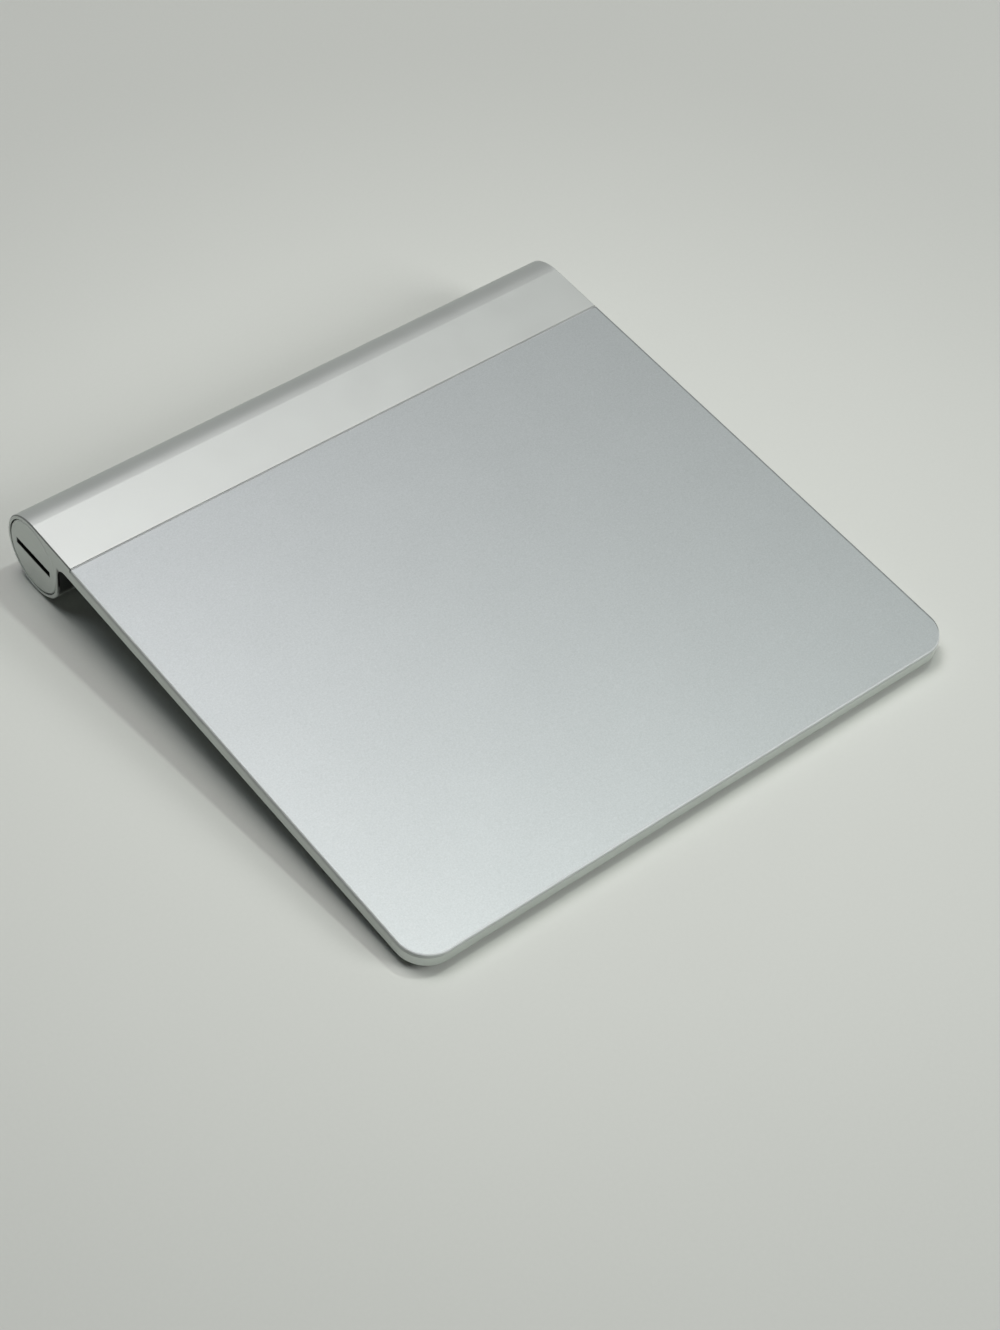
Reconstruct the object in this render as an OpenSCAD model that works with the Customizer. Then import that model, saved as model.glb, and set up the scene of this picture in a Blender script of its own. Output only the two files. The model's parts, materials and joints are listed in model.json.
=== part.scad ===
// Wireless trackpad: a glass touch face on a machined aluminium tray, raised on a battery tube.
// Every piece is drawn in the pad's own frame. X runs to the right, Y runs back along the touch
// face from its front edge, and Z rises from the touch face, which lies at Z 0.
// stand() tilts a piece onto the desk, with the origin under the middle of the whole.

/* [Pad] */
// Radius of the two front corners
corner_r = 6.5; // [4:0.5:8]
// Width of the small chamfer along the outer edges
edge_break = 0.25; // [0.1:0.05:0.35]
// Height of the underside above the desk at the front edge
front_gap = 1.2; // [0.8:0.1:1.6]
// Depth of the strip behind the glass, from the seam to above the tube's axis
strip_d = 12.9; // [10:0.1:16]

/* [Touch face] */
// Depth of the glass
glass_d = 108.4; // [90:0.2:130]
// Thickness of the glass
glass_t = 0.9; // [0.7:0.05:1.1]
// Open line between the glass and the strip behind it
seam_gap = 0.3; // [0.15:0.05:0.5]
// Thickness of the adhesive film under the glass
adhesive_t = 0.1; // [0.05:0.01:0.2]
// How far the adhesive film stays back from the edge of the glass
adhesive_inset = 0.8; // [0.4:0.1:1.2]
// Thickness of the touch sensor board
sensor_t = 0.3; // [0.2:0.05:0.5]

/* [Tray] */
// Width of the rim that carries the glass
rim_w = 1.5; // [1.2:0.1:2.2]
// Width of the metal between the pocket and the back edge of the glass
back_rim_w = 2.8; // [2:0.1:4]
// Thickness of the bottom skin
skin_t = 0.7; // [0.6:0.05:1]
// Clear height between the floor of the pocket and the sensor board
work_h = 1.6; // [1.5:0.05:2]
// Radius that the cutter leaves in the back corners of the pocket
pocket_r = 2; // [1:0.25:3]
// Radius of the fillet between the underside and the front of the tube
neck_r = 2.2; // [1.2:0.1:2.6]
// Height of the stiffening ribs on the floor
rib_h = 0.7; // [0.4:0.1:0.9]
// Thickness of the stiffening ribs
rib_t = 1; // [0.6:0.1:1.6]

/* [Battery tube] */
// Radius of a battery cell
cell_r = 7.25; // [6.25:0.25:8.5]
// Length of a battery cell with its button
cell_l = 50.5; // [44:0.5:58]
// Length of the bay behind the cells for the contact and the power switch
switch_bay = 23; // [20:0.1:30]
// Free play between a cell and the bore
cell_play = 0.2; // [0.15:0.05:0.3]
// Wall of the tube
tube_wall = 1.5; // [1.3:0.05:1.8]
// How far the round caps in the tube's ends reach past the bore
cap_step = 0.5; // [0.4:0.05:0.7]
// Thickness of the round caps
cap_t = 1.6; // [1.4:0.1:2]
// Length of the screwed boss behind the battery door
boss_l = 4.6; // [4:0.1:5]
// Length of the coin slot
slot_l = 11.6; // [9:0.2:12.4]
// Width of the coin slot
slot_w = 1.5; // [1.2:0.1:2]
// Depth of the coin slot at its middle
slot_depth = 1.9; // [1.4:0.1:2.1]
// Degrees by which the slot of the shut door is turned anticlockwise, seen from outside
slot_turn = 2.8; // [-6:0.2:6]

/* [Click feet] */
// Distance of each front foot from the side of the pad
foot_inset = 11.5; // [9.5:0.5:15]
// Distance of each front foot from the front edge
foot_y = 10; // [9:0.5:14]
// Radius of a front foot
foot_r = 5; // [4:0.25:5.5]
// Distance from each lever's hinge to its foot
lever_l = 30; // [25:0.5:35]
// Width of a lever at its hinge
arm_w = 7; // [5.5:0.25:7.5]
// Thickness of a lever
arm_t = 0.4; // [0.3:0.05:0.5]
// Radius of a hinge pin
pin_r = 0.35; // [0.3:0.01:0.4]

/* [Rear feet] */
// How far the rear feet stand below the tube
foot_proud = 0.35; // [0.2:0.05:0.6]
// Length of a rear foot
rear_foot_l = 36; // [20:1:44]
// Width of a rear foot
rear_foot_w = 4; // [3:0.25:5]
// Distance of a rear foot from the end of the tube
rear_foot_inset = 9.5; // [7:0.5:14]
// Depth of the groove that holds a rear foot
rear_groove = 0.7; // [0.5:0.05:0.8]

/* [Circuit boards] */
// Width of the logic board
board_w = 88; // [74:1:104]
// Depth of the logic board
board_d = 22; // [19:0.5:26]
// Distance of the logic board from the right side of the pocket
board_side_gap = 6; // [5:0.5:8]
// Thickness of the logic board
board_t = 0.5; // [0.4:0.05:0.6]
// Height of the bosses under the logic board
boss_h = 0.3; // [0.2:0.05:0.4]
// Height of the tallest chips
chip_h = 0.5; // [0.3:0.05:0.55]

/* [Power button] */
// Travel of the power button
button_travel = 0.4; // [0.3:0.05:0.5]
// How far the button's flange reaches past its face
flange_lip = 1.05; // [0.8:0.05:1.4]

/* [Hidden] */
$fn = 96;
overrun = 1;

// Clearances
thread_play = 0.05;
cap_play = 0.2;
carrier_play = 0.05;
board_play = 0.5;
foot_play = 0.2;
groove_play = 0.05;
hinge_play = 0.1;
pin_play = 0.05;
ear_play = 0.15;
board_seat_play = 0.1;
seat_play = 0.02;
button_play = 0.1;
end_play = 0.2;

// Levels through the plate, from the touch face down
glass_z = -glass_t;
rim_z = glass_z - adhesive_t;
roof_z = rim_z - sensor_t;
floor_z = roof_z - work_h;
under_z = floor_z - skin_t;
plate_t = -under_z;
pocket_back = glass_d - back_rim_w;
strip_y = glass_d + seam_gap;

// The tube, its bore and its caps
spring_stand = 0.7;
pad_w = cap_t + boss_l + spring_stand + 2 * cell_l + switch_bay;
bore_r = cell_r + cell_play;
tube_r = bore_r + tube_wall;
tube_y = strip_y + strip_d;
tube_z = -tube_r;
end_x = pad_w / 2;
cap_r = bore_r + cap_step;
fillet_z = under_z - neck_r;
fillet_y = tube_y - tube_r - neck_r;

// The stance on the desk
rise = tube_r - plate_t;
drop = front_gap - foot_proud - tube_r;
tilt = acos(drop / norm([rise, tube_y])) - atan2(tube_y, rise);
tube_stand_y = tube_y * cos(tilt) - tube_z * sin(tilt);
lift_z = foot_proud + tube_r - tube_y * sin(tilt) - tube_z * cos(tilt);
shift_y = -(tube_stand_y + tube_r + edge_break * sin(tilt)) / 2;

// Battery cell
nub_r = 2.75;
nub_h = 1;
cell_chamfer = 0.5;

// Battery door, its floating contact and the spring
door_in_x = -end_x + cap_t + boss_l;
cavity_wall = 1.8;
cavity_floor = 1.6;
cavity_r = bore_r - thread_play - cavity_wall;
cavity_depth = boss_l - cavity_floor;
contact_plate_t = 0.3;
contact_gap = 0.05;
rivet_r = 0.8;
rivet_l = 0.6;
spring_wire_r = 0.35;
spring_inset = 1;
spring_wide_r = cavity_r - spring_inset;
spring_narrow_r = 2.2;
spring_turns = 3;
spring_sides = 8;
spring_steps = 16;
plate_face_x = door_in_x - cavity_depth + contact_gap + contact_plate_t;
cell_1_x = door_in_x + spring_stand;
cell_2_x = cell_1_x + cell_l;
cells_end_x = cell_2_x + cell_l;

// Contact carrier behind the cells
carrier_l = 5.2;
well_r = 3.3;
contact_r = 3.1;
contact_t = 0.4;
tail_r = 0.8;
tail_l = 0.8;
carrier_x = cells_end_x - nub_h + end_play;
contact_end_x = cells_end_x + contact_t;
carrier_end_x = carrier_x + carrier_l;

// Power button, its switch and the cup that holds them
cup_wall = 1.4;
cup_lip = 0.5;
cup_lip_gap = 0.15;
cup_bore_r = bore_r - carrier_play - cup_wall;
cup_seat_r = bore_r - carrier_play - cup_lip;
flange_play = 1.1;
flange_t = 0.8;
flange_gap = 0.05;
flange_r = cup_seat_r - flange_play;
button_r = flange_r - flange_lip;
stem_r = 1.4;
stem_l = 1.8;
plunger_r = 0.9;
plunger_l = 1.5;
switch_w = 4.5;
switch_t = 2.1;
switch_gap = 0.6;
power_board_r = cup_seat_r - board_seat_play;
power_board_t = 0.8;
flange_x = end_x - cap_t - flange_gap - flange_t;
stem_x = flange_x - stem_l;
switch_face_x = stem_x - switch_gap;
power_board_x = switch_face_x - switch_t - power_board_t;
cup_x = carrier_end_x + end_play;
cup_end_x = flange_x - cup_lip_gap;

// Levers, their hinges and the dome
foot_x = end_x - foot_inset;
hinge_x = foot_x - lever_l;
hinge_z = (floor_z + roof_z) / 2;
knuckle_r = work_h / 2 - hinge_play;
leaf_z = hinge_z - knuckle_r;
tab_z = hinge_z + knuckle_r - arm_t;
arm_pad_lip = 0.3;
arm_pad_r = foot_r + foot_play + arm_pad_lip;
tab_w = 4;
tab_gap = 0.8;
arm_slot_w = 2.4;
arm_slot_gap = 6;
ear_t = 0.9;
ear_front = 1;
ear_back = 1.6;
bracket_t = 0.3;
bracket_l = 5.5;
bracket_gap = 0.9;
bracket_half = 6.5;
bracket_screw_y = 5.4;
click_board_w = 14;
click_board_d = 9;
click_board_t = 0.4;
switch_base_w = 6;
switch_base_t = 0.25;
dome_r = 2.4;
dome_t = 0.12;
dome_gap = 0.05;
dome_z = floor_z + click_board_t + switch_base_t;
dome_h = tab_z - dome_gap - dome_z;

// Feet
foot_chamfer = 0.5;
foot_drop = plate_t + front_gap + (foot_y + foot_r) * tan(tilt) + overrun;
rear_foot_x = end_x - rear_foot_inset - rear_foot_l / 2;

// Boards, chips, connectors and ribbons
board_x = end_x - rim_w - board_side_gap - board_w / 2;
board_back_gap = 4;
board_y = pocket_back - board_back_gap - board_d;
board_z = floor_z + boss_h;
board_top_z = board_z + board_t;
board_mid_y = board_y + board_d / 2;
screw_inset = 3.5;
screw_head_r = 0.95;
screw_head_t = 0.35;
screw_shank_r = 0.5;
screw_floor = 0.2;
screw_bite = skin_t - screw_floor;
screw_recess_r = 0.3;
board_boss_r = 2;
ribbon_t = 0.12;
ribbon_lift = 0.2;
ribbon_z = board_top_z + ribbon_lift;
connector_h = 0.5;
connector_d = 3.5;
connector_inset = 1.5;
connector_wall = 0.8;
sensor_ribbon_w = 16;
sensor_ribbon_x_share = -0.23;
sensor_ribbon_x = board_x + sensor_ribbon_x_share * board_w;
sensor_ribbon_tail = 4;
power_ribbon_w = 5;
power_ribbon_gap = 1.25;
power_ribbon_x = power_board_x - power_ribbon_gap - power_ribbon_w / 2;
screw_gap = 0.75;
back_screw_inset = board_x + board_w / 2 - power_ribbon_x + power_ribbon_w / 2
    + connector_wall + screw_gap + screw_head_r;
power_leg_y = 1.6;
power_leg_z = 3.2;
power_bend_r = 0.6;
click_ribbon_w = 3;
click_ribbon_ramp = 3;
click_ribbon_lap = 1.2;
duct_w = 7;
duct_h = 1;
shield_w = 16;
shield_d_share = 0.54;
shield_d = shield_d_share * board_d;
shield_t = 0.15;
shield_gap = 0.2;
shield_h = work_h - boss_h - board_t - shield_gap;
shield_x_share = -0.27;
shield_back_gap = 0.6;
shield_y = board_y + board_d - connector_inset - connector_d - shield_back_gap - shield_d;

// Chips on the logic board: middle in X and Y as shares of the board, then width and depth
// as shares of the board's depth, then height as a share of the tallest chip
chip_shares = [
    [-0.27, -0.06, 0.36, 0.36, 0.8],
    [0.03, -0.12, 0.42, 0.42, 1],
    [0.2, -0.18, 0.3, 0.24, 0.8],
    [0.2, 0.16, 0.14, 0.26, 1],
    [0.3, 0.12, 0.12, 0.12, 0.9],
    [0.36, -0.14, 0.22, 0.22, 0.7],
    [-0.08, -0.26, 0.1, 0.2, 0.9],
    [-0.08, 0.08, 0.16, 0.1, 0.6],
    [-0.42, -0.24, 0.14, 0.14, 0.8],
    [0.1, 0.24, 0.1, 0.06, 0.6],
    [-0.02, 0.3, 0.1, 0.06, 0.6]
];

// Ribs across the floor of the pocket, as shares of the depth between the levers and the board
rib_y_shares = [0.12, 0.5, 0.88];
rib_x_share = 0.42;
rib_channel = 9;
rib_front_gap = 9;

// Placing helpers

// From the pad's own frame to the pad as it stands on the desk
module stand() {
    translate([0, shift_y, lift_z])
        rotate([tilt, 0, 0])
            children();
}

// A profile drawn in Y and Z, extruded along X
module across(from_x, to_x) {
    translate([from_x, 0, 0])
        rotate([90, 0, 90])
            linear_extrude(to_x - from_x)
                children();
}

// The tube's axis becomes Z, starting at the given X
module on_tube(x) {
    translate([x, tube_y, tube_z])
        rotate([0, 90, 0])
            children();
}

// A round bar along the tube's axis
module tube_bar(from_x, to_x, r) {
    on_tube(from_x)
        cylinder(r = r, h = to_x - from_x);
}

// Shapes that repeat

// A flat outline with round front corners and, where back_r is above zero, round back corners
module sheet(half, front, back, front_r, back_r = 0) {
    translate([-half, front + front_r])
        square([2 * half, back - front - front_r - back_r]);
    translate([front_r - half, front])
        square([2 * (half - front_r), front_r]);
    for (side = [-1, 1])
        translate([side * (half - front_r), front + front_r])
            circle(front_r);
    if (back_r > 0) {
        translate([back_r - half, back - back_r])
            square([2 * (half - back_r), back_r]);
        for (side = [-1, 1])
            translate([side * (half - back_r), back - back_r])
                circle(back_r);
    }
}

// The sliver that a chamfer takes off: up is 1 on a top edge and -1 on a bottom edge
module break_profile(z, up) {
    reach = edge_break + overrun;
    polygon([
        [-reach, z + up * overrun],
        [overrun, z - up * reach],
        [overrun, z + up * overrun]
    ]);
}

// Chamfer cuts along the straight sides, from one Y to another
module side_breaks(z, up, from_y, to_y) {
    for (side = [0, 1])
        mirror([side, 0, 0])
            translate([end_x, to_y, 0])
                rotate([90, 0, 0])
                    linear_extrude(to_y - from_y)
                        break_profile(z, up);
}

// Chamfer cuts along the front edge and round the two front corners
module front_breaks(z, up) {
    straight = end_x - corner_r;
    across(-straight, straight)
        mirror([1, 0])
            break_profile(z, up);
    for (side = [0, 1])
        mirror([side, 0, 0])
            translate([straight, corner_r, 0])
                rotate_extrude(angle = 90, start = 270)
                    translate([corner_r, 0])
                        break_profile(z, up);
}

// A slot outline along X with round ends
module slot_bar(l, w, h) {
    translate([-(l - w) / 2, -w / 2, 0])
        cube([l - w, w, h]);
    for (side = [-1, 1])
        translate([side * (l - w) / 2, 0, 0])
            cylinder(d = w, h = h);
}

// A pan-head screw with a cross recess, whose seat is at z
module screw(x, y, z) {
    translate([x, y, z]) {
        difference() {
            cylinder(r = screw_head_r, h = screw_head_t);
            for (turn = [0, 90])
                rotate([0, 0, turn])
                    translate([-screw_recess_r * 2, -screw_recess_r / 2, screw_head_t / 2])
                        cube([screw_recess_r * 4, screw_recess_r, screw_head_t]);
        }
        translate([0, 0, floor_z - screw_bite - z])
            cylinder(r = screw_shank_r, h = z - floor_z + screw_bite + screw_head_t / 4);
    }
}

// The hole that a screw's shank bites into
module screw_hole(x, y) {
    translate([x, y, floor_z - screw_bite])
        cylinder(r = screw_shank_r + seat_play, h = screw_bite + overrun);
}

// Where the screws go
function board_screw_places() = [
    for (sx = [-1, 1], sy = [-1, 1]) [
        board_x + sx * (board_w / 2 - (sy > 0 ? back_screw_inset : screw_inset)),
        board_mid_y + sy * (board_d / 2 - screw_inset)
    ]
];
function bracket_screw_places() = [
    for (sx = [-1, 1], sy = [-1, 1]) [
        sx * (hinge_x - bracket_gap - bracket_l / 2),
        foot_y + sy * bracket_screw_y
    ]
];

// The aluminium body

// Side view of the strip, the tube and the neck, whose front runs straight up from the tube
module rear_profile() {
    translate([strip_y, under_z])
        square([tube_y - strip_y, plate_t]);
    translate([tube_y, tube_z])
        circle(tube_r);
    difference() {
        polygon([
            [fillet_y, under_z],
            [tube_y, under_z],
            [tube_y, tube_z],
            [tube_y - tube_r, tube_z],
            [tube_y - tube_r, fillet_z],
            [fillet_y, fillet_z]
        ]);
        translate([fillet_y, fillet_z])
            circle(neck_r);
    }
}

// Chamfer cuts round the tube's ends, up the front of the neck and round its fillet
module tube_end_breaks() {
    for (side = [0, 1])
        mirror([side, 0, 0]) {
            on_tube(0)
                rotate_extrude(angle = 270, start = -90)
                    translate([tube_r, 0])
                        break_profile(end_x, 1);
            translate([0, tube_y - tube_r, tube_z])
                linear_extrude(fillet_z - tube_z)
                    rotate(-90)
                        break_profile(end_x, 1);
            translate([0, fillet_y, fillet_z])
                rotate([0, 90, 0])
                    rotate_extrude(angle = 90, start = 90)
                        translate([neck_r, 0])
                            mirror([1, 0])
                                break_profile(end_x, 1);
        }
}

module outer_form() {
    difference() {
        union() {
            across(-end_x, end_x)
                rear_profile();
            translate([0, 0, under_z])
                linear_extrude(rim_z - under_z)
                    sheet(end_x, 0, strip_y, corner_r);
        }
        front_breaks(under_z, -1);
        side_breaks(under_z, -1, corner_r, fillet_y);
        side_breaks(0, 1, strip_y, tube_y);
        tube_end_breaks();
    }
}

// What the cutters take out: the pocket, the bore, the cap seats and the ribbon duct
module hollows() {
    translate([0, 0, floor_z])
        linear_extrude(rim_z - floor_z + overrun)
            sheet(end_x - rim_w, rim_w, pocket_back, corner_r - rim_w, pocket_r);
    tube_bar(-end_x - overrun, end_x + overrun, bore_r);
    tube_bar(-end_x - overrun, cap_t - end_x, cap_r + cap_play);
    tube_bar(end_x - cap_t, end_x + overrun, cap_r + cap_play);
    translate([power_ribbon_x - duct_w / 2, pocket_back - overrun, ribbon_z - duct_h / 2])
        cube([duct_w, tube_y - pocket_back + overrun, duct_h]);
}

// Ribs that stiffen the floor, with a channel in the middle for the click ribbon
module floor_ribs() {
    front = foot_y + rib_front_gap;
    depth = board_y - front;
    pocket_half = end_x - rim_w;
    for (side = [0, 1])
        mirror([side, 0, 0]) {
            for (share = rib_y_shares)
                translate([rib_channel / 2, front + share * depth - rib_t / 2, floor_z])
                    cube([pocket_half - rib_channel / 2, rib_t, rib_h]);
            translate([
                rib_x_share * pocket_half - rib_t / 2,
                front + rib_y_shares[0] * depth,
                floor_z
            ])
                cube([rib_t, (rib_y_shares[2] - rib_y_shares[0]) * depth, rib_h]);
        }
}

// Bosses that carry the logic board
module board_bosses() {
    for (place = board_screw_places())
        translate([place[0], place[1], floor_z])
            cylinder(r = board_boss_r, h = boss_h);
}

module aluminium_body() {
    color("silver")
        difference() {
            stand()
                difference() {
                    union() {
                        difference() {
                            outer_form();
                            hollows();
                        }
                        floor_ribs();
                        board_bosses();
                    }
                    for (side = [-1, 1])
                        translate([side * foot_x, foot_y, under_z - overrun])
                            cylinder(r = foot_r + foot_play, h = skin_t + 2 * overrun);
                    for (place = concat(board_screw_places(), bracket_screw_places()))
                        screw_hole(place[0], place[1]);
                }
            for (side = [-1, 1])
                rear_foot_blank(side, groove_play, overrun);
        }
}

// The touch face

module touch_glass() {
    color("gainsboro")
        stand()
            difference() {
                translate([0, 0, glass_z])
                    linear_extrude(glass_t)
                        sheet(end_x, 0, glass_d, corner_r);
                front_breaks(0, 1);
                side_breaks(0, 1, corner_r, glass_d + overrun);
                across(-end_x - overrun, end_x + overrun)
                    translate([glass_d, 0])
                        break_profile(0, 1);
            }
}

module glass_adhesive() {
    color("white")
        stand()
            translate([0, 0, rim_z])
                linear_extrude(adhesive_t)
                    sheet(
                        end_x - adhesive_inset, adhesive_inset, glass_d - adhesive_inset,
                        corner_r - adhesive_inset
                    );
}

module touch_sensor_board() {
    inset = rim_w + board_play;
    color("seagreen")
        stand()
            translate([0, 0, roof_z])
                linear_extrude(sensor_t)
                    sheet(
                        end_x - inset, inset, pocket_back - board_play,
                        corner_r - inset, pocket_r
                    );
}

// Boards, chips, connectors and ribbons

module logic_board() {
    color("darkgreen")
        stand()
            difference() {
                translate([board_x, 0, board_z])
                    linear_extrude(board_t)
                        sheet(board_w / 2, board_y, board_y + board_d, pocket_r, pocket_r);
                for (place = board_screw_places())
                    translate([place[0], place[1], board_z - overrun])
                        cylinder(r = screw_shank_r + pin_play, h = board_t + 2 * overrun);
            }
}

module board_chips() {
    color("dimgray")
        stand()
            for (chip = chip_shares)
                translate([
                    board_x + chip[0] * board_w - chip[2] * board_d / 2,
                    board_mid_y + chip[1] * board_d - chip[3] * board_d / 2,
                    board_top_z
                ])
                    cube([chip[2] * board_d, chip[3] * board_d, chip[4] * chip_h]);
}

module board_shield() {
    color("lightsteelblue")
        stand()
            translate([
                board_x + shield_x_share * board_w - shield_w / 2,
                shield_y,
                board_top_z
            ])
                difference() {
                    cube([shield_w, shield_d, shield_h]);
                    translate([shield_t, shield_t, -overrun])
                        cube([
                            shield_w - 2 * shield_t,
                            shield_d - 2 * shield_t,
                            shield_h - shield_t + overrun
                        ]);
                }
}

// One ribbon socket at the back of the logic board, open to the back for its ribbon
module ribbon_socket(x, ribbon_w) {
    back = board_y + board_d - connector_inset;
    width = ribbon_w + 2 * connector_wall;
    difference() {
        translate([x - width / 2, back - connector_d, board_top_z])
            cube([width, connector_d, connector_h]);
        translate([
            x - ribbon_w / 2 - seat_play,
            back - connector_d / 2 - seat_play,
            ribbon_z - ribbon_t / 2 - seat_play
        ])
            cube([ribbon_w + 2 * seat_play, connector_d, ribbon_t + 2 * seat_play]);
    }
}

module ribbon_connectors() {
    color("ivory")
        stand() {
            ribbon_socket(sensor_ribbon_x, sensor_ribbon_w);
            ribbon_socket(power_ribbon_x, power_ribbon_w);
        }
}

// Folded ribbon from the underside of the sensor board back to the logic board
module sensor_ribbon() {
    socket_y = board_y + board_d - connector_inset - connector_d / 2;
    top_z = roof_z - ribbon_t / 2;
    fold_z = (top_z + ribbon_z) / 2;
    fold_r = (top_z - ribbon_z) / 2;
    fold_y = pocket_back - board_play - fold_r - ribbon_t;
    color("chocolate")
        stand()
            across(sensor_ribbon_x - sensor_ribbon_w / 2, sensor_ribbon_x + sensor_ribbon_w / 2) {
                translate([fold_y - sensor_ribbon_tail, roof_z - ribbon_t])
                    square([sensor_ribbon_tail, ribbon_t]);
                translate([socket_y, ribbon_z - ribbon_t / 2])
                    square([fold_y - socket_y, ribbon_t]);
                intersection() {
                    translate([fold_y, fold_z])
                        difference() {
                            circle(fold_r + ribbon_t / 2);
                            circle(fold_r - ribbon_t / 2);
                        }
                    translate([fold_y, fold_z - fold_r - ribbon_t])
                        square([fold_r + ribbon_t, 2 * (fold_r + ribbon_t)]);
                }
            }
}

// Ribbon through the duct into the tube, down to the small power board
module power_ribbon() {
    from_x = power_ribbon_x - power_ribbon_w / 2;
    to_x = power_ribbon_x + power_ribbon_w / 2;
    socket_y = board_y + board_d - connector_inset - connector_d / 2;
    leg_y = tube_y - power_leg_y;
    bend_y = leg_y - power_bend_r;
    bend_z = ribbon_z - power_bend_r;
    color("chocolate")
        stand() {
            across(from_x, to_x) {
                translate([socket_y, ribbon_z - ribbon_t / 2])
                    square([bend_y - socket_y, ribbon_t]);
                intersection() {
                    translate([bend_y, bend_z])
                        difference() {
                            circle(power_bend_r + ribbon_t / 2);
                            circle(power_bend_r - ribbon_t / 2);
                        }
                    translate([bend_y, bend_z])
                        square(power_bend_r + ribbon_t);
                }
                translate([leg_y - ribbon_t / 2, bend_z - power_leg_z])
                    square([ribbon_t, power_leg_z]);
            }
            across(from_x, power_board_x)
                translate([leg_y - ribbon_t / 2, bend_z - power_leg_z])
                    square([ribbon_t, power_leg_z / 2]);
        }
}

// Ribbon along the floor from the click switch up onto the logic board
module click_ribbon() {
    start_y = foot_y + click_board_d / 2;
    color("chocolate")
        stand()
            across(-click_ribbon_w / 2, click_ribbon_w / 2)
                polygon([
                    [start_y, floor_z],
                    [board_y - click_ribbon_ramp, floor_z],
                    [board_y, board_top_z],
                    [board_y + click_ribbon_lap, board_top_z],
                    [board_y + click_ribbon_lap, board_top_z + ribbon_t],
                    [board_y - ribbon_t, board_top_z + ribbon_t],
                    [board_y - click_ribbon_ramp - ribbon_t, floor_z + ribbon_t],
                    [start_y, floor_z + ribbon_t]
                ]);
}

module board_screws() {
    color("gray")
        stand()
            for (place = board_screw_places())
                screw(place[0], place[1], board_top_z);
}

// The battery tube's contents

// A cell with its flat end at x and its button towards the right
module battery_cell(x) {
    can_l = cell_l - nub_h;
    stand()
        on_tube(x) {
            cylinder(r1 = cell_r - cell_chamfer, r2 = cell_r, h = cell_chamfer);
            translate([0, 0, cell_chamfer])
                cylinder(r = cell_r, h = can_l - 2 * cell_chamfer);
            translate([0, 0, can_l - cell_chamfer])
                cylinder(r1 = cell_r, r2 = cell_r - cell_chamfer, h = cell_chamfer);
            translate([0, 0, can_l])
                cylinder(r = nub_r, h = nub_h);
        }
}

module battery_cell_1() {
    color("slategray")
        battery_cell(cell_1_x);
}

module battery_cell_2() {
    color("slategray")
        battery_cell(cell_2_x);
}

// Coin-slotted door: the slot is what a round cutter leaves, deepest in the middle
module battery_door() {
    cutter_r = (pow(slot_l / 2, 2) + pow(slot_depth, 2)) / (2 * slot_depth);
    color("lightgray")
        stand()
            difference() {
                union() {
                    on_tube(-end_x)
                        cylinder(r1 = cap_r - edge_break, r2 = cap_r, h = edge_break);
                    tube_bar(edge_break - end_x, cap_t - end_x, cap_r);
                    tube_bar(cap_t - end_x, door_in_x, bore_r - thread_play);
                }
                translate([0, tube_y, tube_z])
                    rotate([-slot_turn, 0, 0])
                        translate([slot_depth - end_x - cutter_r, 0, -slot_w / 2])
                            cylinder(r = cutter_r, h = slot_w);
                tube_bar(door_in_x - cavity_depth, door_in_x + overrun, cavity_r);
                tube_bar(
                    door_in_x - cavity_depth - rivet_l - contact_gap,
                    door_in_x - cavity_depth + overrun,
                    rivet_r + pin_play
                );
            }
}

// Plate that carries the spring and stays still while the door turns on its rivet
module door_contact_plate() {
    color("goldenrod")
        stand() {
            tube_bar(plate_face_x - contact_plate_t, plate_face_x, cavity_r - pin_play);
            tube_bar(
                plate_face_x - contact_plate_t - rivet_l,
                plate_face_x - contact_plate_t / 2,
                rivet_r
            );
        }
}

// A conical compression spring, swept as one wire along its axis
module door_contact_spring() {
    rise_l = cell_1_x - plate_face_x - 2 * spring_wire_r;
    steps = spring_turns * spring_steps;
    pitch = norm([rise_l, spring_wide_r - spring_narrow_r]) / spring_turns;
    echo(least_gap_between_turns = pitch - 2 * spring_wire_r);
    points = [
        for (i = [0:steps], j = [0:spring_sides - 1])
            let (
                share = i / steps,
                turn = 360 * spring_turns * share,
                around = 360 * j / spring_sides,
                r = spring_wide_r + (spring_narrow_r - spring_wide_r) * share
                    + spring_wire_r * cos(around),
                h = spring_wire_r + rise_l * share + spring_wire_r * sin(around)
            ) [r * cos(turn), r * sin(turn), h]
    ];
    walls = [
        for (i = [0:steps - 1], j = [0:spring_sides - 1])
            let (
                a = i * spring_sides + j,
                b = i * spring_sides + (j + 1) % spring_sides
            ) each [
                [a, b, b + spring_sides],
                [a, b + spring_sides, a + spring_sides]
            ]
    ];
    first_end = [for (j = [1:spring_sides - 2]) [0, j + 1, j]];
    last = steps * spring_sides;
    last_end = [for (j = [1:spring_sides - 2]) [last, last + j, last + j + 1]];
    color("gold")
        stand()
            on_tube(plate_face_x)
                polyhedron(points, concat(walls, first_end, last_end));
}

// Plastic disc behind the cells, whose well admits only a cell's button
module contact_carrier() {
    color("dimgray")
        stand()
            difference() {
                tube_bar(carrier_x, carrier_end_x, bore_r - carrier_play);
                tube_bar(carrier_x - overrun, contact_end_x, well_r);
                tube_bar(carrier_x, carrier_end_x + overrun, tail_r + pin_play);
            }
}

module positive_contact() {
    color("gold")
        stand() {
            tube_bar(cells_end_x, contact_end_x, contact_r);
            tube_bar(contact_end_x, carrier_end_x + end_play + tail_l, tail_r);
        }
}

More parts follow.
